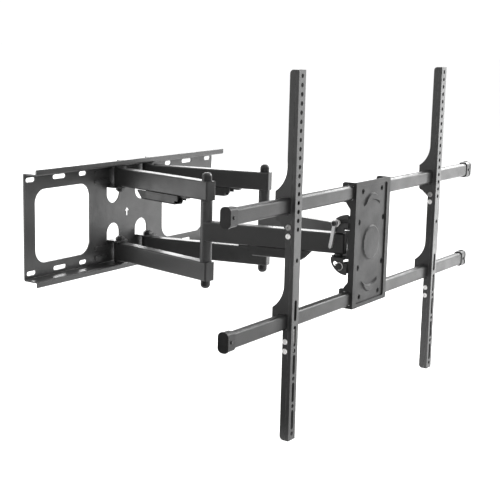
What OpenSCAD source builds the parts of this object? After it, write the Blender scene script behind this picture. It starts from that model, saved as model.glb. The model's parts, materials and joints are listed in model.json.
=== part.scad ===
// Full motion wall mount for a large flat screen, in its extended rest pose.
// Origin: centre of the wall plate's back face. +X right, +Y into the wall, +Z up.
// The arms fold sideways about vertical hinges; the head tilts about a horizontal axis.

/* [Wall plate] */
// Width of the wall plate
plate_w = 632; // [600:1:660]
// Height over the two flanges
plate_h = 216; // [210:1:224]
// How far the flanges stand out from the wall
plate_depth = 37; // [36:0.5:40]
// Sheet thickness of the wall plate
plate_t = 3; // [2.5:0.1:3.4]
// Height of the lips at the flange edges
lip_h = 9; // [6:0.5:12]
// Width of each large window
window_w = 163; // [120:1:166]
// Height of each large window
window_h = 150; // [120:1:154]
// Distance of each window's centre from the middle
window_x = 205; // [204:0.5:207]

/* [Arms] */
// Distance between the two hinge axes of one arm
arm_len = 276; // [270:0.5:280]
// Angle of each arm from straight out, at rest
rest_angle = 12; // [9:0.5:15]
// Distance of the hinge axes from the middle plane
hinge_x = 47.5; // [46:0.5:50]
// Distance of the wall hinge axes from the wall
hinge_y = 22.5; // [22:0.25:23]
// Width of the arm tubes
arm_w = 25; // [24:0.5:26]
// Height of the outer arm tubes
outer_arm_h = 39; // [36:0.5:41]
// Wall thickness of the arm tubes
tube_wall = 2; // [1.5:0.1:2.5]
// Length of a cable clip without its tongue
clip_len = 130; // [100:1:140]

/* [Head] */
// Width of the head plate
head_w = 138; // [134:1:140]
// Height of the head plate
head_h = 240; // [236:1:244]
// Distance of each rail's centre from the head's centre
rail_z = 101; // [100:0.5:102]
// Distance from the tilt axis to the upper tilt bolts
tilt_r_up = 47; // [46:0.5:48]
// Distance from the tilt axis to the lower tilt bolts
tilt_r_low = 41.5; // [41:0.25:42]
// Length of the tilt lever from its pivot to its end
lever_len = 49; // [40:1:52]

/* [Rails and brackets] */
// Length of a rail over its end caps
rail_len = 948; // [800:1:1000]
// Height of a rail
rail_h = 27; // [26:0.5:27]
// Depth of a rail
rail_d = 17; // [16:0.5:17]
// Distance of each screen bracket from the middle
bracket_x = 283.5; // [120:0.5:420]
// Top of the screen brackets above the head's centre
bracket_top = 329; // [326:1:340]
// Bottom of the screen brackets below the head's centre
bracket_bottom = 314; // [310:1:330]
// Width of a screen bracket
bracket_w = 22; // [22:0.5:26]
// Pitch of the round holes in a screen bracket
hole_pitch = 15.2; // [15:0.1:15.3]

/* [Hidden] */

$fn = 48;
running_gap = 0.05;   // radial clearance of a running fit
static_gap = 0.2;     // radial clearance round a bolt that does not turn
open_gap = 0.6;       // radial clearance of the pivot where the linkage is opened
cut = 1;              // how far a cutter runs past a face
hinge_r = 6;          // all arm hinge pins
plug_lip = 4;         // thickness of an end plug's head over the tube's end
plug_in = 18;         // depth of an end plug in its tube
tube_over = 9;        // tube past the hinge axis, without the plug's head
tube_r = 3;           // outer corner radius of the arm tubes

// wall plate
bend_out = 4;
bend_in = bend_out - plate_t;
tongue_z = 57;                        // lower face of the upper hinge tongue
tongue_w = 42;
tongue_r = tongue_w / 2;
tongue_straight = 14;
slot_z = 94;
slot_w = 9;
stud_slots = [[145, 23], [215.5, 38], [298, 26]];   // distance from the middle, length
window_r = 28;
window_z = -2.5;
flange_in = plate_h / 2 - plate_t;

// inner arms and elbows
inner_arm_low = tongue_z + plate_t + 2;             // lowest face of the upper inner arm
inner_arm_high = flange_in - 5;
inner_arm_h = inner_arm_high - inner_arm_low;
inner_arm_z = (inner_arm_high + inner_arm_low) / 2;
knuckle_r = 13;                                     // the sleeve at an inner arm's wall end
knuckle_low = tongue_z + plate_t + 1;
knuckle_high = flange_in - 1;
bead_z = [72, 91];                                  // stiffening beads beside the hinges
bead_len = 46;
bead_x = 85;
sleeve_r = 12;
sleeve_end = inner_arm_low - 2;
elbow_x = hinge_x + arm_len * sin(rest_angle);
elbow_y = -(hinge_y + arm_len * cos(rest_angle));
cap_r = 10;
cap_h = 16.5;
stud_r = 4;

// yoke and head, measured from the rail plane
pin_back = 31;                                      // hinge axes behind the rail plane
head_pin_y = -(hinge_y + 2 * arm_len * cos(rest_angle));
head_y = head_pin_y - pin_back;
tilt_axis_y = 3.5;
ear_in = 24.5;
ear_t = 3;
ear_out = ear_in + ear_t;
head_t = 2.5;
panel_front = -11;
border_front = -13.6;
border_side = 12.5;
border_end = 7.5;
wall_back = -1.5;
wall_in = head_w / 2 - head_t;
ear_plate_out = wall_in - 0.3;                      // the tilt bracket fits between the side walls
ear_plate_t = 3;
ear_plate_in = ear_plate_out - ear_plate_t;
bracket_web = 2.5;
bracket_half_h = 58;
panel_back = panel_front + head_t;
panel_screw_x = 49;
panel_screw_z = 43.5;
panel_head_r = 6;
rail_head_r = 5.4;
screw_r = 3;
head_sink = 0.7;
sink_h = 1.5;
lobe_in = head_w / 2 + 0.5;
lobe_t = 3;
lobe_out = lobe_in + lobe_t;
tilt_bolt_r = 4;
tilt_slot_w = 8.4;
tilt_up = 3;                                        // degrees the head tilts back
tilt_down = 15;                                     // degrees the head tilts forward
phi_up = 28;                                        // angle of the upper bolts from straight up
phi_low = 16;                                       // angle of the lower bolts from straight down
lever_rest = 9.5;                                   // angle of the lever from straight down
lever_t = 5;
lever_w = 6.5;

// rails
rail_wall = 1.8;
rail_r = 5.5;
cap_len = 21;
cap_rim = 4;
rail_cap_h = 35;
rail_cap_d = 21;
rail_bolt_x = 38;

// screen brackets, measured from the rail plane
flange_front = -18.5;
web_back = -0.5;
sheet = 2;
hook_back = 22;
hook_top = 65;
hook_curve = 50;
hook_screw_z = 64;
prong_r = 7;
prong_at = [13.5, -22];
relief_at = [-4, -14.5];
relief_r = 3;
upper_screw_z = 48.6;
lower_screw_z = [-136, -153];
screw_y = -6;
holes_top = 319;
round_holes = 18;
lone_hole_z = 7;
low_pitch = 50;
low_holes_z = -152;
slots_high = [-81, -126];

// ---------- shared shapes ----------
module rounded_rect(w, h, r) {
    square([w - 2 * r, h], center = true);
    square([w, h - 2 * r], center = true);
    for (sx = [-1, 1], sy = [-1, 1])
        translate([sx * (w / 2 - r), sy * (h / 2 - r)]) circle(r);
}

module slot_shape(length, width) {
    square([length - width, width], center = true);
    for (s = [-1, 1]) translate([s * (length - width) / 2, 0]) circle(width / 2);
}

// a drawing in X and Z, as a plate from y_front towards the wall
module xz_plate(y_front, t) {
    translate([0, y_front + t, 0]) rotate([90, 0, 0]) linear_extrude(t) children();
}

// a drawing in Y and Z, as a bar from x_start along +X
module yz_bar(x_start, length) {
    translate([x_start, 0, 0]) rotate([90, 0, 90]) linear_extrude(length) children();
}

// the frame of one arm: +X runs from its first hinge axis to its second
module inner_frame(side) {
    translate([side * hinge_x, -hinge_y, 0]) rotate([0, 0, -90 + side * rest_angle]) children();
}

module outer_frame(side) {
    translate([side * elbow_x, elbow_y, 0]) rotate([0, 0, -90 - side * rest_angle]) children();
}

module at_head() {
    translate([0, head_y, 0]) children();
}

// upper copy, and its mirror image below
module both_levels() {
    children();
    mirror([0, 0, 1]) children();
}

module both_sides() {
    children();
    mirror([1, 0, 0]) children();
}

module hex_prism(across, h) {
    cylinder(h = h, r = across / sqrt(3), $fn = 6);
}

module ring(r_out, r_in, h) {
    difference() {
        cylinder(h = h, r = r_out);
        translate([0, 0, -cut]) cylinder(h = h + 2 * cut, r = r_in);
    }
}

// one quadrant of a sheet bend, drawn in two dimensions
module bend(cy, cz, sy, sz) {
    translate([cy, cz]) intersection() {
        difference() {
            circle(bend_out);
            circle(bend_in);
        }
        translate([sy > 0 ? 0 : -bend_out, sz > 0 ? 0 : -bend_out]) square(bend_out);
    }
}

// ---------- wall plate ----------
module channel_half() {
    lip_bend_y = -(plate_depth - bend_out);
    translate([-plate_t, -cut]) square([plate_t, plate_h / 2 - bend_out + cut]);
    bend(-bend_out, plate_h / 2 - bend_out, 1, 1);
    translate([lip_bend_y, flange_in]) square([-lip_bend_y - bend_out, plate_t]);
    bend(lip_bend_y, plate_h / 2 + bend_in, -1, -1);
    translate([-plate_depth, plate_h / 2 + bend_in]) square([plate_t, lip_h - bend_in]);
}

module window_shape() {
    translate([window_x, window_z]) rounded_rect(window_w, window_h, window_r);
}

// a D with its flat side up: the sheet of each hinge tongue came out of it
module tongue_hole() {
    centre_z = tongue_z - tongue_straight;
    intersection() {
        translate([hinge_x, centre_z]) circle(tongue_r);
        translate([hinge_x - tongue_r, centre_z - tongue_r]) square([tongue_w, tongue_r]);
    }
    translate([hinge_x - tongue_r, centre_z - cut]) square([tongue_w, tongue_straight + cut]);
}

module arrow_shape() {
    tip = 9;
    tail = -11;
    wing = 7.5;
    stem = 3;
    polygon([
        [0, tip], [wing, 0], [stem, 0], [stem, tail],
        [-stem, tail], [-stem, 0], [-wing, 0]
    ]);
}

module hinge_tongue() {
    tip_r = tongue_r - 1;
    translate([hinge_x, 0, tongue_z]) difference() {
        union() {
            translate([0, -plate_depth + tip_r, 0]) cylinder(h = plate_t, r = tip_r);
            translate([-tip_r, -plate_depth + tip_r, 0])
                cube([2 * tip_r, plate_depth - tip_r - plate_t / 2, plate_t]);
        }
        translate([0, -hinge_y, -cut]) cylinder(h = plate_t + 2 * cut, r = hinge_r + static_gap);
    }
}

module wall_beads() {
    raised = 1.5;
    width = 9;
    for (z = bead_z) translate([bead_x, 0, z])
        xz_plate(-plate_t - raised, raised + cut) slot_shape(bead_len, width);
}

module wall_plate() {
    color([0.13, 0.13, 0.14]) difference() {
        union() {
            both_sides() both_levels() wall_beads();
            yz_bar(-plate_w / 2, plate_w) {
                channel_half();
                mirror([0, 1]) channel_half();
            }
            both_sides() both_levels() hinge_tongue();
        }
        xz_plate(-plate_t - cut, plate_t + 2 * cut) {
            for (side = [0, 1]) mirror([side, 0]) {
                window_shape();
                for (level = [0, 1]) mirror([0, level]) {
                    tongue_hole();
                    for (s = stud_slots) translate([s[0], slot_z]) slot_shape(s[1], slot_w);
                }
            }
            arrow_shape();
        }
        for (side = [-1, 1]) translate([side * hinge_x, -hinge_y, -plate_h / 2 - cut]) {
            cylinder(h = plate_t + 2 * cut, r = hinge_r + static_gap);
            translate([0, 0, plate_h - plate_t]) cylinder(h = plate_t + 2 * cut, r = hinge_r + static_gap);
        }
    }
}

module at_wall_hinges() {
    both_sides() both_levels() translate([hinge_x, -hinge_y, 0]) children();
}

module wall_hinge_bolts() {
    washer_top = plate_h / 2 + 2;
    past_tongue = 8.5;
    color("dimgray") at_wall_hinges() {
        translate([0, 0, tongue_z - past_tongue])
            cylinder(h = washer_top - tongue_z + past_tongue, r = hinge_r);
        translate([0, 0, washer_top]) hex_prism(13, 6.5);
    }
}

module wall_hinge_nuts() {
    nut_h = 6.5;
    color("dimgray") at_wall_hinges() translate([0, 0, tongue_z - nut_h - 0.1]) difference() {
        hex_prism(17, nut_h);
        translate([0, 0, -cut]) cylinder(h = nut_h + 2 * cut, r = hinge_r + 0.1);
    }
}

module wall_hinge_spacers() {
    color("dimgray") at_wall_hinges() translate([0, 0, knuckle_high + 0.1])
        ring(knuckle_r - 1, hinge_r + static_gap, flange_in - knuckle_high - 0.15);
}

module wall_hinge_washers() {
    washer_r = 8;
    color("dimgray") at_wall_hinges() {
        translate([0, 0, plate_h / 2]) ring(washer_r, hinge_r + static_gap, 1.95);
        translate([0, 0, tongue_z + plate_t]) ring(knuckle_r - 1, hinge_r + static_gap, 0.9);
    }
}

// ---------- arms ----------
module arm_tube(h, x_start, x_end) {
    yz_bar(x_start, x_end - x_start) difference() {
        rounded_rect(arm_w, h, tube_r);
        rounded_rect(arm_w - 2 * tube_wall, h - 2 * tube_wall, tube_r - tube_wall + 0.5);
    }
}

module pin_hole(x, h, gap) {
    translate([x, 0, -h / 2 - cut]) cylinder(h = h + 2 * cut, r = hinge_r + gap);
}

// a tube welded to the sleeve that turns on the wall hinge
module inner_arm(side, level) {
    knuckle_h = knuckle_high - knuckle_low;
    color([0.2, 0.2, 0.21]) inner_frame(side) mirror([0, 0, level > 0 ? 0 : 1]) {
        difference() {
            translate([0, 0, inner_arm_z]) arm_tube(inner_arm_h, 0, arm_len + tube_over);
            translate([0, 0, knuckle_low]) cylinder(h = knuckle_h, r = knuckle_r - 0.5);
            translate([0, 0, inner_arm_z]) pin_hole(arm_len, inner_arm_h, 0.1);
        }
        translate([0, 0, knuckle_low]) ring(knuckle_r, hinge_r + running_gap, knuckle_h);
    }
}

module plug_outline(corner) {
    translate([0, -arm_w / 2]) square([plug_lip - corner, arm_w]);
    translate([0, -arm_w / 2 + corner]) square([plug_lip, arm_w - 2 * corner]);
    for (s = [-1, 1])
        translate([plug_lip - corner, s * (arm_w / 2 - corner)]) circle(corner);
}

// a plug whose rounded head covers the tube's end; it points along +X
module end_plug(h, hinge_back) {
    fit = 0.15;
    corner = plug_lip - 0.5;
    difference() {
        union() {
            intersection() {
                yz_bar(0, plug_lip) rounded_rect(arm_w, h, tube_r);
                translate([0, 0, -h / 2]) linear_extrude(h) plug_outline(corner);
            }
            yz_bar(-plug_in, plug_in)
                rounded_rect(arm_w - 2 * tube_wall - 2 * fit, h - 2 * tube_wall - 2 * fit, 1.4);
        }
        pin_hole(-hinge_back, h, 0.4);
    }
}

module inner_arm_plugs(side) {
    color([0.05, 0.05, 0.05]) inner_frame(side) both_levels()
        translate([arm_len + tube_over, 0, inner_arm_z]) end_plug(inner_arm_h, tube_over);
}

// an open-topped channel for cables, hung under an arm whose lower face is at z_arm
module cable_clip(x_start, z_arm) {
    clip_h = 19;
    skin = 2;
    slope = 18;
    step_h = 11;
    tongue_len = 20;
    tongue_t = 3.5;
    x_end = x_start + clip_len;
    color([0.09, 0.09, 0.1]) translate([0, 0, z_arm - 0.1]) {
        intersection() {
            yz_bar(x_start - cut, clip_len + 2 * cut) difference() {
                translate([0, -clip_h / 2]) rounded_rect(arm_w, clip_h, 4);
                translate([0, -clip_h / 2 + skin / 2 + cut])
                    rounded_rect(arm_w - 2 * skin, clip_h - skin + 2 * cut, 2.5);
                translate([-arm_w, -0.01]) square([2 * arm_w, clip_h]);
            }
            translate([0, arm_w, 0]) rotate([90, 0, 0]) linear_extrude(2 * arm_w)
                polygon([
                    [x_start, 0], [x_start + slope, -clip_h], [x_end - 12, -clip_h],
                    [x_end - 10, -step_h], [x_end, -step_h], [x_end, 0]
                ]);
        }
        translate([x_end - 4, -6, -tongue_t - 0.5]) cube([tongue_len + 4, 12, tongue_t]);
        for (s = [-1, 1]) translate([x_start + 6, s * (arm_w / 2 - skin) - (s > 0 ? 0 : skin), -3])
            cube([clip_len - 6, skin, 2.9]);
        translate([x_end - 4, -arm_w / 2 + 1, -tongue_t - 0.5]) cube([3, arm_w - 2, tongue_t]);
    }
}

module inner_cable_clip(side) {
    inner_frame(side) cable_clip(71, inner_arm_low);
}

module outer_cable_clip(side) {
    outer_frame(side) translate([222, 0, 0]) mirror([1, 0, 0]) cable_clip(0, -outer_arm_h / 2);
}

// ---------- elbows ----------
module elbow_axle(side) {
    stud_end = inner_arm_high + 10.2;
    color("silver") translate([side * elbow_x, elbow_y, 0]) {
        translate([0, 0, -inner_arm_high]) cylinder(h = 2 * inner_arm_high, r = hinge_r);
        translate([0, 0, -stud_end]) cylinder(h = 2 * stud_end, r = stud_r);
    }
}

module elbow_nuts(side) {
    color("silver") translate([side * elbow_x, elbow_y, 0]) both_levels()
        translate([0, 0, inner_arm_high + 1.8]) difference() {
            hex_prism(13, 8);
            translate([0, 0, -cut]) cylinder(h = 8 + 2 * cut, r = stud_r + 0.1);
        }
}

module elbow_washers(side) {
    color("silver") translate([side * elbow_x, elbow_y, 0]) both_levels() {
        translate([0, 0, sleeve_end + 0.1]) ring(sleeve_r, hinge_r + static_gap, 1.8);
        translate([0, 0, inner_arm_high + 0.1]) ring(8, stud_r + static_gap, 1.6);
    }
}

// a domed cover over the nut
module dome_profile(r, h) {
    crown = 8.5;
    square([r, h - crown]);
    intersection() {
        translate([0, h - crown]) square([r, crown]);
        union() {
            translate([0, h - crown]) square([r - crown, crown]);
            translate([r - crown, h - crown]) circle(crown);
        }
    }
}

module elbow_caps(side) {
    skin = 1.2;
    color([0.06, 0.06, 0.06]) translate([side * elbow_x, elbow_y, 0]) both_levels()
        translate([0, 0, inner_arm_high + 0.1]) rotate_extrude() difference() {
            dome_profile(cap_r, cap_h);
            translate([0, -cut]) square([cap_r - skin, cap_h - 6 + cut]);
        }
}

// ---------- outer arms ----------
module outer_arm(side) {
    head_gap = side < 0 ? running_gap : open_gap;
    color([0.2, 0.2, 0.21]) outer_frame(side) difference() {
        arm_tube(outer_arm_h, 0, arm_len + tube_over);
        translate([0, 0, -outer_arm_h]) cylinder(h = 2 * outer_arm_h, r = sleeve_r + 0.1);
        pin_hole(arm_len, outer_arm_h, head_gap);
    }
}

module elbow_sleeve(side) {
    color([0.2, 0.2, 0.21]) outer_frame(side) translate([0, 0, -sleeve_end])
        ring(sleeve_r, hinge_r + running_gap, 2 * sleeve_end);
}

module outer_arm_plug(side) {
    color([0.05, 0.05, 0.05]) outer_frame(side) translate([arm_len + tube_over, 0, 0])
        difference() {
            end_plug(outer_arm_h, tube_over);
            pin_hole(-tube_over, outer_arm_h, open_gap + 0.2);
        }
}

// ---------- yoke ----------
module ear_shape() {
    pin_lug = 13.5;
    front = 8;
    back = 34.5;
    square_back = pin_back + 2;
    translate([-58, 5]) square([116, front]);
    translate([-lobe_out, front]) square([2 * lobe_out, back - front]);
    for (s = [-1, 1]) translate([s * hinge_x, pin_back]) circle(pin_lug);
    translate([-hinge_x, square_back]) square([2 * hinge_x, pin_back + pin_lug - square_back]);
}

// arc slot about the tilt axis, from angle a to angle b measured from straight up
module arc_slot(r, a, b) {
    half = tilt_slot_w / 2;
    translate([tilt_axis_y, 0]) {
        intersection() {
            difference() {
                circle(r + half);
                circle(r - half);
            }
            polygon([
                [0, 0], [2 * r * sin(a), 2 * r * cos(a)],
                [2 * r * sin((a + b) / 2), 2 * r * cos((a + b) / 2)], [2 * r * sin(b), 2 * r * cos(b)]
            ]);
        }
        for (angle = [a, b]) translate([r * sin(angle), r * cos(angle)]) circle(half);
    }
}

module upper_lobe() {
    difference() {
        intersection() {
            translate([-2, 14]) circle(46);
            translate([0.5, ear_in]) square([34, 50]);
            union() {
                translate([0.5, 34]) square([60, 50]);
                translate([8, 0]) square([60, 50]);
            }
        }
        arc_slot(tilt_r_up, -2, phi_up + tilt_up + 0.5);
    }
}

module lower_lobe() {
    difference() {
        intersection() {
            translate([2, 21.5]) circle(34);
            translate([0.5, ear_in]) square([34, 50]);
            union() {
                translate([0.5, 34]) square([60, 50]);
                translate([8, 0]) square([60, 50]);
            }
        }
        arc_slot(tilt_r_low, phi_low - tilt_up - 0.5, phi_low + tilt_down + 0.5);
    }
}

module yoke() {
    color([0.14, 0.14, 0.15]) at_head() {
        difference() {
            both_levels() translate([0, 0, ear_in]) linear_extrude(ear_t) ear_shape();
            for (s = [-1, 1]) translate([s * hinge_x, pin_back, -ear_out - cut])
                cylinder(h = 2 * (ear_out + cut), r = hinge_r + static_gap);
        }
        translate([-58, 5, -ear_in - cut]) cube([116, 3, 2 * (ear_in + cut)]);
        both_sides() {
            yz_bar(lobe_in, lobe_t) upper_lobe();
            yz_bar(lobe_in, lobe_t) mirror([0, 1]) lower_lobe();
        }
    }
}

module at_head_pins() {
    at_head() both_sides() translate([hinge_x, pin_back, 0]) children();
}

module head_hinge_bolts() {
    color("silver") at_head_pins() {
        translate([0, 0, -ear_out - 8]) cylinder(h = 2 * ear_out + 8, r = hinge_r);
        translate([0, 0, ear_out]) cylinder(h = 4.5, r1 = 8.5, r2 = 7);
    }
}

module head_hinge_nuts() {
    color("silver") at_head_pins() translate([0, 0, -ear_out - 6.1]) rotate([0, 0, 30]) difference() {
        hex_prism(16.5, 6);
        translate([0, 0, -cut]) cylinder(h = 6 + 2 * cut, r = hinge_r + 0.1);
    }
}

module head_hinge_bushes() {
    low = outer_arm_h / 2 + 0.3;
    color("dimgray") at_head_pins() both_levels() translate([0, 0, low])
        ring(8, hinge_r + static_gap, ear_in - low - 0.05);
}

// ---------- head plate ----------
function upper_bolt() = [tilt_axis_y + tilt_r_up * sin(phi_up), tilt_r_up * cos(phi_up)];
function lower_bolt() = [tilt_axis_y + tilt_r_low * sin(phi_low), -tilt_r_low * cos(phi_low)];

// a closed loop of the side wall round a rail
module rail_loop() {
    loop_back = 16.5;
    low = rail_z - rail_h / 2 - 5.5;
    high = head_h / 2;
    translate([wall_back - 1, low]) square([loop_back - wall_back - 4, high - low]);
    translate([wall_back - 1, low + 5]) square([loop_back - wall_back + 1, high - low - 10]);
    for (z = [low + 5, high - 5]) translate([loop_back - 5, z]) circle(5);
    polygon([[wall_back - 1, low - 14], [wall_back - 1, low + 1], [8, low + 1], [8, low]]);
}

module side_wall() {
    gap = 0.3;
    difference() {
        union() {
            translate([border_front + 0.5, -head_h / 2])
                square([wall_back - border_front - 0.5, head_h]);
            for (level = [0, 1]) mirror([0, level]) rail_loop();
        }
        for (z = [-rail_z, rail_z]) translate([0, z])
            rounded_rect(rail_d + 2 * gap, rail_h + 2 * gap, rail_r + gap);
    }
}

// a raised crescent with sloping sides, its horns towards the middle
module crescent(h) {
    outer_z = 63.5;
    outer_r = 33;
    inner_z = 29;
    inner_r = 52.5;
    slope = 3;
    difference() {
        translate([0, -h, outer_z]) rotate([-90, 0, 0])
            cylinder(h = h + 0.5, r1 = outer_r - slope, r2 = outer_r);
        translate([0, -h - cut, inner_z]) rotate([-90, 0, 0])
            cylinder(h = h + 0.5 + 2 * cut, r1 = inner_r + slope, r2 = inner_r - 0.5);
    }
}

module head_plate() {
    boss_r = 35;
    boss_h = 2.6;
    boss_slope = 4;
    crescent_h = 3.2;
    hollow_r = boss_r - 5;
    color([0.14, 0.14, 0.15]) at_head() difference() {
        union() {
            xz_plate(border_front, panel_back - border_front) difference() {
                rounded_rect(head_w, head_h, 5);
                rounded_rect(head_w - 2 * border_side, head_h - 2 * border_end, 5);
            }
            xz_plate(panel_front, head_t)
                rounded_rect(head_w - 2 * border_side + 1, head_h - 2 * border_end + 1, 5);
            translate([0, panel_front - boss_h, 0]) rotate([-90, 0, 0])
                cylinder(h = boss_h, r1 = boss_r - boss_slope, r2 = boss_r);
            both_levels() translate([0, panel_front, 0]) crescent(crescent_h);
            both_sides() yz_bar(wall_in, head_t) side_wall();
        }
        translate([0, panel_front, 0]) rotate([-90, 0, 0]) cylinder(h = head_t + cut, r = hollow_r);
        for (sx = [-1, 1], sz = [-1, 1]) {
            translate([sx * rail_bolt_x, panel_front, sz * rail_z]) screw_seat(rail_head_r);
            translate([sx * panel_screw_x, panel_front, sz * panel_screw_z]) screw_seat(panel_head_r);
        }
    }
}

// a U-shaped bracket behind the panel; its ears reach back to the tilt bolts
module upper_ear() {
    intersection() {
        translate([-2, 14]) circle(43);
        translate([panel_back, 30]) square([31 - panel_back, 40]);
    }
}

module lower_ear() {
    intersection() {
        translate([2, -21.5]) circle(31);
        polygon([[panel_back, -30], [3.5, -30], [31, -38.3], [31, -70], [panel_back, -70]]);
    }
}

module tilt_bracket() {
    color([0.14, 0.14, 0.15]) at_head() {
        difference() {
            xz_plate(panel_back + 0.05, bracket_web)
                square([2 * ear_plate_out, 2 * bracket_half_h], center = true);
            for (sx = [-1, 1], sz = [-1, 1]) translate([sx * panel_screw_x, 0, sz * panel_screw_z])
                rotate([90, 0, 0]) cylinder(h = 30, r = 3.05, center = true);
        }
        both_sides() yz_bar(ear_plate_in, ear_plate_t) difference() {
            union() {
                translate([panel_back + 0.05, -bracket_half_h])
                    square([wall_back - panel_back, 2 * bracket_half_h]);
                upper_ear();
                lower_ear();
            }
            for (bolt = [upper_bolt(), lower_bolt()]) translate(bolt) circle(tilt_bolt_r + 0.1);
        }
    }
}

module panel_screws() {
    color("dimgray") at_head() for (sx = [-1, 1], sz = [-1, 1])
        translate([sx * panel_screw_x, panel_front, sz * panel_screw_z])
            sunk_screw(panel_head_r, panel_back + bracket_web - panel_front);
}

// a sunk screw along +Y, its head just below the face it stands in
module sunk_screw(head_r, length) {
    socket = 5;
    rotate([-90, 0, 0]) difference() {
        union() {
            translate([0, 0, head_sink]) cylinder(h = sink_h, r1 = head_r, r2 = screw_r);
            translate([0, 0, head_sink]) cylinder(h = length - head_sink, r = screw_r);
        }
        hex_prism(socket, head_sink + 1.5);
    }
}

// the countersunk hole for it
module screw_seat(head_r) {
    fit = 0.15;
    rotate([-90, 0, 0]) {
        translate([0, 0, -cut]) cylinder(h = head_sink + cut + 0.01, r = head_r + fit);
        translate([0, 0, head_sink]) cylinder(h = sink_h, r1 = head_r + fit, r2 = screw_r + fit);
        cylinder(h = head_t + cut, r = screw_r + fit);
    }
}

// children stand on the outside of a side wall, +Z pointing outwards
module on_side(side, bolt) {
    translate([0, bolt[0], bolt[1]]) rotate([0, side * 90, 0]) children();
}

module tilt_bolts() {
    inner_end = ear_plate_in - 7;
    color("silver") at_head() {
        for (side = [-1, 1], bolt = [upper_bolt(), lower_bolt()]) {
            is_lever = side < 0 && bolt[1] > 0;
            outer_end = is_lever ? lobe_out + 7.5 : lobe_out + 2;
            on_side(side, bolt) {
                translate([0, 0, inner_end]) cylinder(h = outer_end - inner_end, r = tilt_bolt_r);
                if (!is_lever) translate([0, 0, outer_end]) cylinder(h = 4.5, r1 = 7, r2 = 5.5);
            }
        }
    }
}

module tilt_nuts() {
    color("silver") at_head() for (side = [-1, 1], bolt = [upper_bolt(), lower_bolt()])
        on_side(side, bolt) translate([0, 0, ear_plate_in - 5.1]) difference() {
            hex_prism(13, 5);
            translate([0, 0, -cut]) cylinder(h = 5 + 2 * cut, r = tilt_bolt_r + 0.1);
        }
}

module tilt_washers() {
    color("silver") at_head() for (side = [-1, 1], bolt = [upper_bolt(), lower_bolt()])
        on_side(side, bolt) {
            translate([0, 0, lobe_out + 0.3]) ring(7.5, tilt_bolt_r + static_gap, 1.5);
            translate([0, 0, ear_plate_out + 0.05])
                ring(6.5, tilt_bolt_r + static_gap, lobe_in - ear_plate_out - 0.35);
        }
}

module tilt_lever() {
    hub_r = 6.5;
    bar_end = lever_len - lever_w / 2;
    color([0.75, 0.75, 0.76]) at_head() on_side(-1, upper_bolt())
        translate([0, 0, lobe_out + 2]) difference() {
            union() {
                cylinder(h = lever_t, r = hub_r);
                rotate([0, 0, -lever_rest]) {
                    translate([-bar_end, -lever_w / 2, 0.4]) cube([bar_end, lever_w, lever_t - 0.8]);
                    translate([-bar_end, 0, 0.4]) cylinder(h = lever_t - 0.8, r = lever_w / 2);
                }
            }
            translate([0, 0, -cut]) cylinder(h = lever_t + 2 * cut, r = tilt_bolt_r + running_gap);
        }
}

module lever_screw() {
    color("dimgray") at_head() on_side(-1, upper_bolt()) translate([0, 0, lobe_out + 7.6]) difference() {
        cylinder(h = 2.4, r = 4.6);
        translate([0, 0, 0.8]) hex_prism(5, 3);
    }
}

// ---------- rails ----------
module rail(z) {
    tube_len = rail_len - 2 * 3;
    color([0.2, 0.2, 0.21]) at_head() translate([0, 0, z]) difference() {
        yz_bar(-tube_len / 2, tube_len) difference() {
            rounded_rect(rail_d, rail_h, rail_r);
            rounded_rect(rail_d - 2 * rail_wall, rail_h - 2 * rail_wall, rail_r - rail_wall);
        }
        for (s = [-1, 1]) translate([s * rail_bolt_x, -rail_d, 0]) rotate([-90, 0, 0])
            cylinder(h = 2 * rail_d, r = 3.2);
    }
}

module rail_end_cap() {
    end_wall = 2.8;
    collar_trim = 2.5;
    translate([rail_len / 2 - cap_len, 0, 0]) difference() {
        union() {
            yz_bar(0, cap_len) rounded_rect(rail_cap_d - 1.5, rail_cap_h - collar_trim, 6.5);
            yz_bar(cap_len - cap_rim, cap_rim) rounded_rect(rail_cap_d, rail_cap_h, 8.5);
        }
        yz_bar(-cut, cap_len - end_wall + cut)
            rounded_rect(rail_d + 0.3, rail_h + 0.3, rail_r);
        translate([cap_len / 2, 0, 0]) rotate([90, 0, 0]) cylinder(h = rail_cap_d, r = 1.8);
    }
}

module rail_end_caps() {
    color([0.05, 0.05, 0.05]) at_head() both_sides()
        for (z = [-rail_z, rail_z]) translate([0, 0, z]) rail_end_cap();
}

module rail_bolts() {
    nut_h = 4;
    color("silver") at_head() for (s = [-1, 1], z = [-rail_z, rail_z])
        translate([s * rail_bolt_x, 0, z]) {
            translate([0, panel_front, 0]) sunk_screw(rail_head_r, rail_d / 2 - panel_front + nut_h);
            translate([0, rail_d / 2 + 0.1, 0]) rotate([-90, 0, 0]) hex_prism(10, nut_h);
        }
}

module cap_screws() {
    color("dimgray") at_head() both_sides() for (z = [-rail_z, rail_z])
        translate([rail_len / 2 - cap_len / 2, 0, z]) {
            translate([0, -rail_cap_d / 2 - 1, 0]) rotate([-90, 0, 0])
                cylinder(h = 1.7, r1 = 2.4, r2 = 3.2);
            translate([0, -rail_cap_d / 2 + 0.5, 0]) rotate([-90, 0, 0]) cylinder(h = 1.5, r = 1.6);
        }
}

// ---------- screen brackets ----------
// the web's outline: a strip with a hook over each rail
module hook_shape() {
    low = -5;
    front = -4;
    chamfer = 9;
    difference() {
        translate([front, low]) square([hook_back - front, hook_top - low]);
        translate([web_back + hook_curve, hook_top]) circle(hook_curve);
        translate([hook_back, low]) rotate(45) square([chamfer, chamfer], center = true);
    }
}

// the upper hook's lower lip, which closes it under the rail
module prong_shape() {
    root = -4;
    top = -13;
    foot = -44;
    tip = prong_at[0] + prong_r;
    translate(prong_at) circle(prong_r);
    polygon([[root, top], [tip, top], [tip, prong_at[1]], prong_at - [0, prong_r], [root, foot]]);
}

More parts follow.
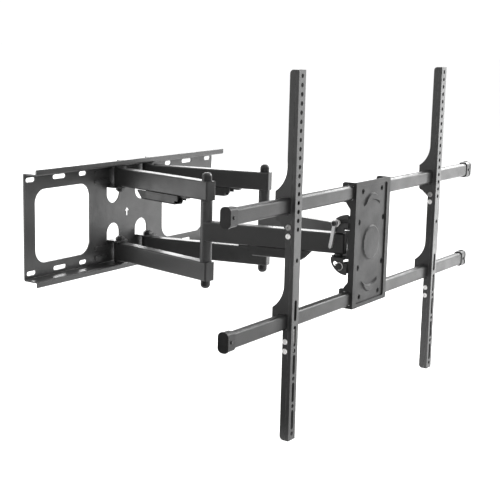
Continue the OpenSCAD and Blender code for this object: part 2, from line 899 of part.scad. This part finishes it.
module web_shape() {
    height = bracket_top + bracket_bottom;
    corner = 7;
    rail_gap = 0.5;
    under_gap = 0.5;
    difference() {
        union() {
            translate([flange_front, -bracket_bottom]) square([web_back - flange_front - corner, height]);
            translate([flange_front, -bracket_bottom + corner])
                square([web_back - flange_front, height - 2 * corner]);
            for (z = [-bracket_bottom + corner, bracket_top - corner])
                translate([web_back - corner, z]) circle(corner);
            for (z = [-rail_z, rail_z]) translate([0, z]) hook_shape();
            translate([0, rail_z]) prong_shape();
        }
        for (z = [-rail_z, rail_z]) translate([-rail_d / 2 - rail_gap, z - rail_h / 2 - under_gap])
            square([rail_d + 2 * rail_gap, rail_h + under_gap + 0.2]);
        translate([0, rail_z] + relief_at) circle(relief_r);
        for (z = concat([hook_screw_z, upper_screw_z], lower_screw_z))
            translate([screw_y, z]) circle(3.2);
    }
}

module screen_bracket(side) {
    half = bracket_w / 2;
    crease_depth = 0.6;
    crease_back = 6.5;
    color([0.14, 0.14, 0.15]) at_head() translate([side * bracket_x, 0, 0]) {
        for (s = [0, 1]) mirror([s, 0, 0]) difference() {
            yz_bar(half - sheet, sheet) web_shape();
            translate([half - crease_depth, flange_front + crease_back, -bracket_bottom - cut])
                cube([cut, 1, bracket_top + bracket_bottom + 2 * cut]);
        }
        difference() {
            translate([-half, flange_front, -bracket_bottom])
                cube([bracket_w, sheet, bracket_top + bracket_bottom]);
            xz_plate(flange_front - cut, sheet + 2 * cut) {
                for (i = [0 : round_holes - 1]) translate([0, holes_top - i * hole_pitch]) circle(4);
                translate([0, lone_hole_z]) circle(4);
                for (z = slots_high) translate([0, z]) rotate(90) slot_shape(37, 8);
                for (i = [0 : 3]) translate([0, low_holes_z - i * low_pitch]) circle(4);
                for (i = [0 : 2]) translate([0, low_holes_z - (i + 0.5) * low_pitch])
                    rotate(90) slot_shape(36, 8);
            }
        }
    }
}

// a block inside the channel that its screws hold up against the bottom rail
module lock_tab(side) {
    tab_w = bracket_w - 2 * sheet - 1;
    tab_low = -158;
    tab_high = -rail_z - rail_h / 2 - 0.3;
    tab_front = -15;
    tab_back = -1;
    color("silver") at_head() translate([side * bracket_x, 0, 0]) difference() {
        yz_bar(-tab_w / 2, tab_w) translate([tab_front, tab_low])
            square([tab_back - tab_front, tab_high - tab_low]);
        for (z = lower_screw_z) translate([-tab_w, screw_y, z]) rotate([0, 90, 0])
            cylinder(h = 2 * tab_w, r = 3.2);
    }
}

// a screw across the channel with its head on the left
module cross_screw(side, z, head_r) {
    half = bracket_w / 2;
    translate([side * bracket_x, screw_y, z]) rotate([0, 90, 0]) {
        translate([0, 0, -half - 0.1]) cylinder(h = bracket_w + 3, r = 3);
        translate([0, 0, -half - 2.6]) difference() {
            cylinder(h = 2.5, r1 = head_r - 1.2, r2 = head_r);
            translate([0, 0, -cut]) hex_prism(4, cut + 1.5);
        }
    }
}

module lock_screws(side) {
    color("silver") at_head() for (z = concat([upper_screw_z], lower_screw_z)) cross_screw(side, z, 5);
}

module hook_screw(side) {
    color("dimgray") at_head() cross_screw(side, hook_screw_z, 5.5);
}

// ---------- one line per node ----------
wall_plate();
wall_hinge_bolts();
wall_hinge_nuts();
wall_hinge_spacers();
wall_hinge_washers();
inner_arm(-1, 1);  // left_upper_inner_arm
inner_arm(-1, -1);  // left_lower_inner_arm
inner_arm_plugs(-1);  // left_inner_arm_plugs
inner_cable_clip(-1);  // left_inner_cable_clip
elbow_axle(-1);  // left_elbow_axle
elbow_nuts(-1);  // left_elbow_nuts
elbow_washers(-1);  // left_elbow_washers
elbow_caps(-1);  // left_elbow_caps
inner_arm(1, 1);  // right_upper_inner_arm
inner_arm(1, -1);  // right_lower_inner_arm
inner_arm_plugs(1);  // right_inner_arm_plugs
inner_cable_clip(1);  // right_inner_cable_clip
elbow_axle(1);  // right_elbow_axle
elbow_nuts(1);  // right_elbow_nuts
elbow_washers(1);  // right_elbow_washers
elbow_caps(1);  // right_elbow_caps
outer_arm(-1);  // left_outer_arm
elbow_sleeve(-1);  // left_elbow_sleeve
outer_arm_plug(-1);  // left_outer_arm_plug
outer_cable_clip(-1);  // left_outer_cable_clip
outer_arm(1);  // right_outer_arm
elbow_sleeve(1);  // right_elbow_sleeve
outer_arm_plug(1);  // right_outer_arm_plug
outer_cable_clip(1);  // right_outer_cable_clip
yoke();
head_hinge_bolts();
head_hinge_nuts();
head_hinge_bushes();
head_plate();
tilt_bracket();
panel_screws();
tilt_bolts();
tilt_nuts();
tilt_washers();
tilt_lever();
lever_screw();
rail(rail_z);  // top_rail
rail(-rail_z);  // bottom_rail
rail_end_caps();
rail_bolts();
cap_screws();
screen_bracket(-1);  // left_screen_bracket
screen_bracket(1);  // right_screen_bracket
lock_tab(-1);  // left_lock_tab
lock_tab(1);  // right_lock_tab
lock_screws(-1);  // left_lock_screws
lock_screws(1);  // right_lock_screws
hook_screw(-1);  // left_hook_screw
hook_screw(1);  // right_hook_screw
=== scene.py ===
"""Looks of the wall mount: procedural finishes, rounded edges, studio light and the camera."""

import json
import math

import bpy
from mathutils import Matrix, Vector


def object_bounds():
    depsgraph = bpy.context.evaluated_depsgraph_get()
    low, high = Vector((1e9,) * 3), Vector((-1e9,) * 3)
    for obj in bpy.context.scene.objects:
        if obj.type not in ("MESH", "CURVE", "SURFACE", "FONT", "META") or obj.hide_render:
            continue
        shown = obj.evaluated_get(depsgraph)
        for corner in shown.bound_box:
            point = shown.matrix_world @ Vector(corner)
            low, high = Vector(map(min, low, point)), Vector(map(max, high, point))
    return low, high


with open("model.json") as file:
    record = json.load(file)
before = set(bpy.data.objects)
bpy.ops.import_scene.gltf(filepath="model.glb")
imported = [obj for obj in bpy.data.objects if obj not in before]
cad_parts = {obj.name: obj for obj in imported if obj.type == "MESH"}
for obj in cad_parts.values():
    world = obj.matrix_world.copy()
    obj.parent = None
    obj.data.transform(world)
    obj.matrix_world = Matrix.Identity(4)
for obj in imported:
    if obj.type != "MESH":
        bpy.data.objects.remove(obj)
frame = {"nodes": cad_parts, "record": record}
cad_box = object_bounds()
nodes = frame["nodes"]


# ---------- materials ----------
class Graph:
    """A node tree with short calls for the nodes used here."""

    def __init__(self, name):
        self.mat = bpy.data.materials.new(name)
        self.mat.use_nodes = True
        self.tree = self.mat.node_tree
        self.tree.nodes.clear()
        self.out = self.tree.nodes.new("ShaderNodeOutputMaterial")
        self.bsdf = self.tree.nodes.new("ShaderNodeBsdfPrincipled")
        self.link(self.bsdf.outputs[0], self.out.inputs["Surface"])
        self.coord = self.tree.nodes.new("ShaderNodeTexCoord").outputs["Object"]

    def link(self, a, b):
        self.tree.links.new(a, b)

    def set(self, **values):
        for key, value in values.items():
            self.bsdf.inputs[key.replace("_", " ")].default_value = value

    def noise(self, scale, detail=2.0, rough=0.5, stretch=None):
        n = self.tree.nodes.new("ShaderNodeTexNoise")
        n.inputs["Scale"].default_value = scale
        n.inputs["Detail"].default_value = detail
        n.inputs["Roughness"].default_value = rough
        source = self.coord
        if stretch:
            m = self.tree.nodes.new("ShaderNodeMapping")
            m.inputs["Scale"].default_value = stretch
            self.link(source, m.inputs["Vector"])
            source = m.outputs["Vector"]
        self.link(source, n.inputs["Vector"])
        return n.outputs["Fac"]

    def remap(self, value, low, high, to_low, to_high):
        m = self.tree.nodes.new("ShaderNodeMapRange")
        m.inputs["From Min"].default_value = low
        m.inputs["From Max"].default_value = high
        m.inputs["To Min"].default_value = to_low
        m.inputs["To Max"].default_value = to_high
        self.link(value, m.inputs["Value"])
        return m.outputs["Result"]

    def math(self, kind, a, b):
        m = self.tree.nodes.new("ShaderNodeMath")
        m.operation = kind
        for i, v in enumerate((a, b)):
            if isinstance(v, float):
                m.inputs[i].default_value = v
            else:
                self.link(v, m.inputs[i])
        return m.outputs[0]

    def mix(self, factor, a, b):
        m = self.tree.nodes.new("ShaderNodeMix")
        m.data_type = "RGBA"
        self.link(factor, m.inputs["Factor"])
        for socket, v in ((m.inputs[6], a), (m.inputs[7], b)):
            if isinstance(v, tuple):
                socket.default_value = v
            else:
                self.link(v, socket)
        return m.outputs[2]

    def bump(self, height, distance, strength=1.0, after=None):
        b = self.tree.nodes.new("ShaderNodeBump")
        b.inputs["Distance"].default_value = distance
        b.inputs["Strength"].default_value = strength
        self.link(height, b.inputs["Height"])
        if after:
            self.link(after, b.inputs["Normal"])
        return b.outputs["Normal"]

    def edges(self, radius):
        """1 on outer edges, 0 on flat ground: where the normal, smoothed over that radius, differs."""
        bevel = self.tree.nodes.new("ShaderNodeBevel")
        bevel.samples = 4
        bevel.inputs["Radius"].default_value = radius
        geometry = self.tree.nodes.new("ShaderNodeNewGeometry")
        dot = self.tree.nodes.new("ShaderNodeVectorMath")
        dot.operation = "DOT_PRODUCT"
        self.link(bevel.outputs["Normal"], dot.inputs[0])
        self.link(geometry.outputs["Normal"], dot.inputs[1])
        return self.remap(dot.outputs["Value"], 0.995, 0.86, 0.0, 1.0)


def grey(v, warm=0.0):
    return (v * (1 + warm), v, v * (1 - warm), 1.0)


def powder_coat(name, base, rough, worn=0.5, shine=0.5):
    """Sprayed and baked coat: orange peel, a fine grain, thin worn edges and faint handling marks."""
    g = Graph(name)
    cloud = g.remap(g.noise(9.0, 3.0), 0.3, 0.7, 0.0, 1.0)
    body = g.mix(cloud, grey(base * 0.9), grey(base * 1.12))
    speck = g.remap(g.noise(2600.0, 1.0), 0.60, 0.74, 0.0, 0.5)
    body = g.mix(speck, body, grey(base * 1.9))
    rub = g.math("MULTIPLY", g.edges(0.0009), g.remap(g.noise(70.0, 4.0, 0.7), 0.42, 0.62, 0.15, 1.0))
    rub = g.math("MULTIPLY", rub, worn)
    g.link(g.mix(rub, body, grey(0.20)), g.bsdf.inputs["Base Color"])
    marks = g.remap(g.noise(26.0, 5.0, 0.65), 0.35, 0.7, rough - 0.05, rough + 0.08)
    g.link(g.math("ADD", marks, g.math("MULTIPLY", speck, 0.1)), g.bsdf.inputs["Roughness"])
    peel = g.bump(g.noise(420.0, 2.0), 0.00016)
    g.link(g.bump(g.noise(2600.0, 1.0), 0.00004, 1.0, peel), g.bsdf.inputs["Normal"])
    g.set(Specular_IOR_Level=shine)
    return g.mat


def plastic(name, base, rough, grain=1.0, shine=0.5):
    """Moulded plastic: spark-eroded grain, slightly polished where it is handled."""
    g = Graph(name)
    cloud = g.remap(g.noise(30.0, 3.0), 0.3, 0.7, 0.0, 1.0)
    body = g.mix(cloud, grey(base * 0.88), grey(base * 1.15))
    corners = g.math("MULTIPLY", g.edges(0.0006), 0.5)
    g.link(g.mix(corners, body, grey(base * 2.6)), g.bsdf.inputs["Base Color"])
    g.link(g.remap(g.noise(55.0, 4.0), 0.3, 0.7, rough - 0.06, rough + 0.08), g.bsdf.inputs["Roughness"])
    g.link(g.bump(g.noise(1500.0, 2.0, 0.6), 0.00008 * grain), g.bsdf.inputs["Normal"])
    g.set(Specular_IOR_Level=shine)
    return g.mat


def black_oxide(name, base, rough, shine):
    """Blackened steel: dark, slightly blotched, with fine turning lines and paler corners."""
    g = Graph(name)
    blotch = g.remap(g.noise(160.0, 4.0, 0.6), 0.35, 0.7, 0.0, 1.0)
    body = g.mix(blotch, grey(base * 0.7), grey(base * 1.3))
    corners = g.math("MULTIPLY", g.edges(0.0004), 0.6)
    g.link(g.mix(corners, body, grey(0.12)), g.bsdf.inputs["Base Color"])
    lines = g.noise(1300.0, 2.0, 0.6, (1.0, 1.0, 0.08))
    g.link(g.remap(lines, 0.3, 0.7, rough - 0.07, rough + 0.1), g.bsdf.inputs["Roughness"])
    g.link(g.bump(lines, 0.00002), g.bsdf.inputs["Normal"])
    g.set(Specular_IOR_Level=shine)
    return g.mat


def steel(name, base, rough, stretch, tint=0.0, metal=1.0):
    """Plated steel with fine drawn lines and a little tarnish."""
    g = Graph(name)
    tarnish = g.remap(g.noise(85.0, 5.0, 0.65), 0.35, 0.75, 0.0, 1.0)
    body = g.mix(tarnish, grey(base, tint), grey(base * 0.72, tint * 1.5))
    g.link(g.mix(g.edges(0.0005), body, grey(min(1.0, base * 1.3))), g.bsdf.inputs["Base Color"])
    lines = g.noise(900.0, 2.0, 0.6, stretch)
    g.link(g.remap(lines, 0.3, 0.7, rough - 0.08, rough + 0.12), g.bsdf.inputs["Roughness"])
    g.link(g.bump(lines, 0.00003), g.bsdf.inputs["Normal"])
    g.set(Metallic=metal)
    return g.mat


# name: base tone, roughness, then wear or grain, and how strong the shine is
looks = {
    "powder_coat": powder_coat("powder_coat", 0.021, 0.36),
    # the rails' coat: a darker, less shiny copy of powder_coat; the darker tone is painted shade
    "shaded_tube_coat": powder_coat("shaded_tube_coat", 0.018, 0.35, 0.5, 0.38),
    "bracket_coat": powder_coat("bracket_coat", 0.021, 0.34, 0.5, 0.64),
    # the head plate's coat: darker and duller than powder_coat; the darker tone is painted shade
    "head_coat": powder_coat("head_coat", 0.017, 0.44, 0.5, 0.25),
    "black_plastic": plastic("black_plastic", 0.014, 0.42),
    "cap_plastic": plastic("cap_plastic", 0.009, 0.34, 0.6, 0.36),
    "bearing_plastic": plastic("bearing_plastic", 0.030, 0.42, 0.5),
    "zinc_steel": steel("zinc_steel", 0.90, 0.30, (1.0, 1.0, 0.05), 0.01, 0.45),
    "black_steel": black_oxide("black_steel", 0.016, 0.34, 0.45),
    # screws sunk in holes: a darker, duller copy of black_steel; the extra darkness is painted shade of
    # the holes
    "sunk_steel": black_oxide("sunk_steel", 0.004, 0.62, 0.12),
    "hook_steel": steel("hook_steel", 0.30, 0.34, (1.0, 1.0, 0.05), 0.01, 0.5),
    "lever_steel": steel("lever_steel", 0.80, 0.34, (1.0, 1.0, 0.04)),
}


# ---------- the CAD nodes' looks ----------
WELD = 0.000004
SHARPEST_KEPT = math.radians(38)
PLAIN_ROUNDING = 0.0005


def dress(obj, slot, width):
    """One finish, and outer edges rounded to that width in metres."""
    mesh = obj.data
    mesh.materials.clear()
    mesh.materials.append(looks[slot])
    if "custom_normal" in mesh.attributes:
        mesh.attributes.remove(mesh.attributes["custom_normal"])
    mesh.polygons.foreach_set("use_smooth", [True] * len(mesh.polygons))
    weld = obj.modifiers.new("weld", "WELD")
    weld.merge_threshold = WELD
    bevel = obj.modifiers.new("bevel", "BEVEL")
    bevel.width = width
    bevel.segments = 2
    bevel.limit_method = "ANGLE"
    bevel.angle_limit = SHARPEST_KEPT
    normals = obj.modifiers.new("normals", "WEIGHTED_NORMAL")
    normals.keep_sharp = True
    normals.weight = 80


# parts of one paint slot given their own copy of the coat, the rails' copy darker as painted shade and
# the brackets' copy shinier, and edges softer than the rest
slots = {s["node"]: s["material_slot"] for s in frame["record"]["subparts"]}
finish_of = {
    "top_rail": "shaded_tube_coat",
    "bottom_rail": "shaded_tube_coat",
    "left_screen_bracket": "bracket_coat",
    "right_screen_bracket": "bracket_coat",
}
rounding = {
    "head_plate": 0.0011,
    "rail_end_caps": 0.0010,
    "left_screen_bracket": 0.0006,
    "right_screen_bracket": 0.0006,
    "tilt_lever": 0.0008,
}
for name, obj in nodes.items():
    dress(obj, finish_of.get(name, slots[name]), rounding.get(name, PLAIN_ROUNDING))


# ---------- floor, light and camera ----------
def sheet(name, low, high, look):
    """A flat upright or lying sheet between two corners, which isn't part of the object."""
    (x0, y0, z0), (x1, y1, z1) = low, high
    if z0 == z1:
        corners = [(x0, y0, z0), (x1, y0, z0), (x1, y1, z0), (x0, y1, z0)]
    else:
        corners = [(x0, y0, z0), (x0, y1, z0), (x0, y1, z1), (x0, y0, z1)]
    mesh = bpy.data.meshes.new(name)
    mesh.from_pydata(corners, [], [(0, 1, 2, 3)])
    mesh.materials.append(look.mat)
    obj = bpy.data.objects.new(name, mesh)
    bpy.context.scene.collection.objects.link(obj)
    return obj


FLOOR_REACH = 60.0
FLOOR_GAP = 0.02
floor_z = cad_box[0][2] - FLOOR_GAP
paper = Graph("floor_look")
cloud = paper.remap(paper.noise(0.8, 2.0), 0.3, 0.7, 0.0, 1.0)
paper.link(paper.mix(cloud, grey(0.955), grey(0.975)), paper.bsdf.inputs["Base Color"])
paper.set(Roughness=0.9)
floor = sheet("floor", (-FLOOR_REACH, -FLOOR_REACH, floor_z), (FLOOR_REACH, FLOOR_REACH, floor_z), paper)

world = bpy.data.worlds.new("studio")
world.use_nodes = True
sky = world.node_tree.nodes["Background"]
sky.inputs["Color"].default_value = grey(1.0)
sky.inputs["Strength"].default_value = 1.06
bpy.context.scene.world = world
bpy.context.scene.view_settings.view_transform = "Standard"


def panel(name, at, towards, wide, high, glow):
    """A soft studio panel; glow is how bright its face looks, with white paper at 1."""
    data = bpy.data.lights.new(name, "AREA")
    data.shape = "RECTANGLE"
    data.size = wide
    data.size_y = high
    data.energy = glow * 4.0 * wide * high
    obj = bpy.data.objects.new(name, data)
    obj.location = at
    obj.rotation_euler = (Vector(towards) - Vector(at)).to_track_quat("-Z", "Y").to_euler()
    obj.visible_camera = False
    bpy.context.scene.collection.objects.link(obj)
    return obj


def flag(name, low, high, tone):
    """A dark studio flag: seen only in reflections, so that faces turned to it stay black."""
    cloth = Graph(name + "_look")
    weave = cloth.remap(cloth.noise(2.0), 0.3, 0.7, tone * 0.9, tone * 1.1)
    cloth.link(weave, cloth.bsdf.inputs["Base Color"])
    cloth.set(Roughness=1.0, Specular_IOR_Level=0.0)
    obj = sheet(name, low, high, cloth)
    for ray in ("camera", "diffuse", "shadow", "transmission", "volume_scatter"):
        setattr(obj, "visible_" + ray, False)


def keep_off(light, names):
    """Barn doors: that light doesn't reach those nodes."""
    lit = bpy.data.collections.new(light.name + "_lit")
    for node, obj in nodes.items():
        if node not in names:
            lit.objects.link(obj)
    lit.objects.link(floor)
    light.light_linking.receiver_collection = lit


# low on the right, for the fronts
panel("front_right", (1.30, -1.25, 0.15), (0.0, -1.0, 0.15), 1.35, 1.0, 1.15)
panel("strip_right", (1.28, -1.06, 0.10), (0.2, -0.62, 0.10), 0.16, 0.9, 3.0)
# high on the right, for rounded top edges
panel("high_right", (1.56, -0.80, 0.82), (0.0, -0.6, 0.1), 1.5, 0.55, 10.0)
# far behind on the right, for the arms' and the wall plate's tops
behind = panel("back_right", (3.4, 2.2, 0.95), (0.0, -0.3, 0.2), 2.6, 1.3, 4.0)
keep_off(behind, ("top_rail", "bottom_rail", "rail_end_caps", "head_plate"))
# on the left, an upright flag and one on the floor, for the sides
flag_z = floor_z + 0.002
flag("flag_left", (-1.5, -1.1, flag_z), (-1.5, 0.75, 1.2), 0.34)
flag("flag_low", (-1.5, -1.1, flag_z), (-0.35, 0.75, flag_z), 0.02)
# behind on the left, for the inner arms; overhead, for form
panel("back_left", (-1.05, 1.35, 0.05), (-0.1, -0.15, 0.0), 1.5, 0.8, 2.3)
panel("overhead", (0.3, -1.0, 3.0), (0.0, -0.3, 0.0), 1.5, 1.5, 2.0)

CAMERA_AT = (-1.9202, -1.5938, 0.3770)
YAW, PITCH, ROLL = math.radians(56.62), math.radians(10.50), math.radians(1.35)
camera_data = bpy.data.cameras.new("camera")
camera_data.sensor_width = 36.0
camera_data.lens = 81.97
camera_data.clip_end = 200.0
camera = bpy.data.objects.new("camera", camera_data)
ahead = Vector((math.sin(YAW) * math.cos(PITCH), math.cos(YAW) * math.cos(PITCH), -math.sin(PITCH)))
across = Vector((math.cos(YAW), -math.sin(YAW), 0.0))
above = across.cross(ahead)
right = math.cos(ROLL) * across + math.sin(ROLL) * above
up = -math.sin(ROLL) * across + math.cos(ROLL) * above
turn = Matrix((right, up, -ahead)).transposed().to_4x4()
camera.matrix_world = Matrix.Translation(CAMERA_AT) @ turn
bpy.context.scene.collection.objects.link(camera)
bpy.context.scene.camera = camera
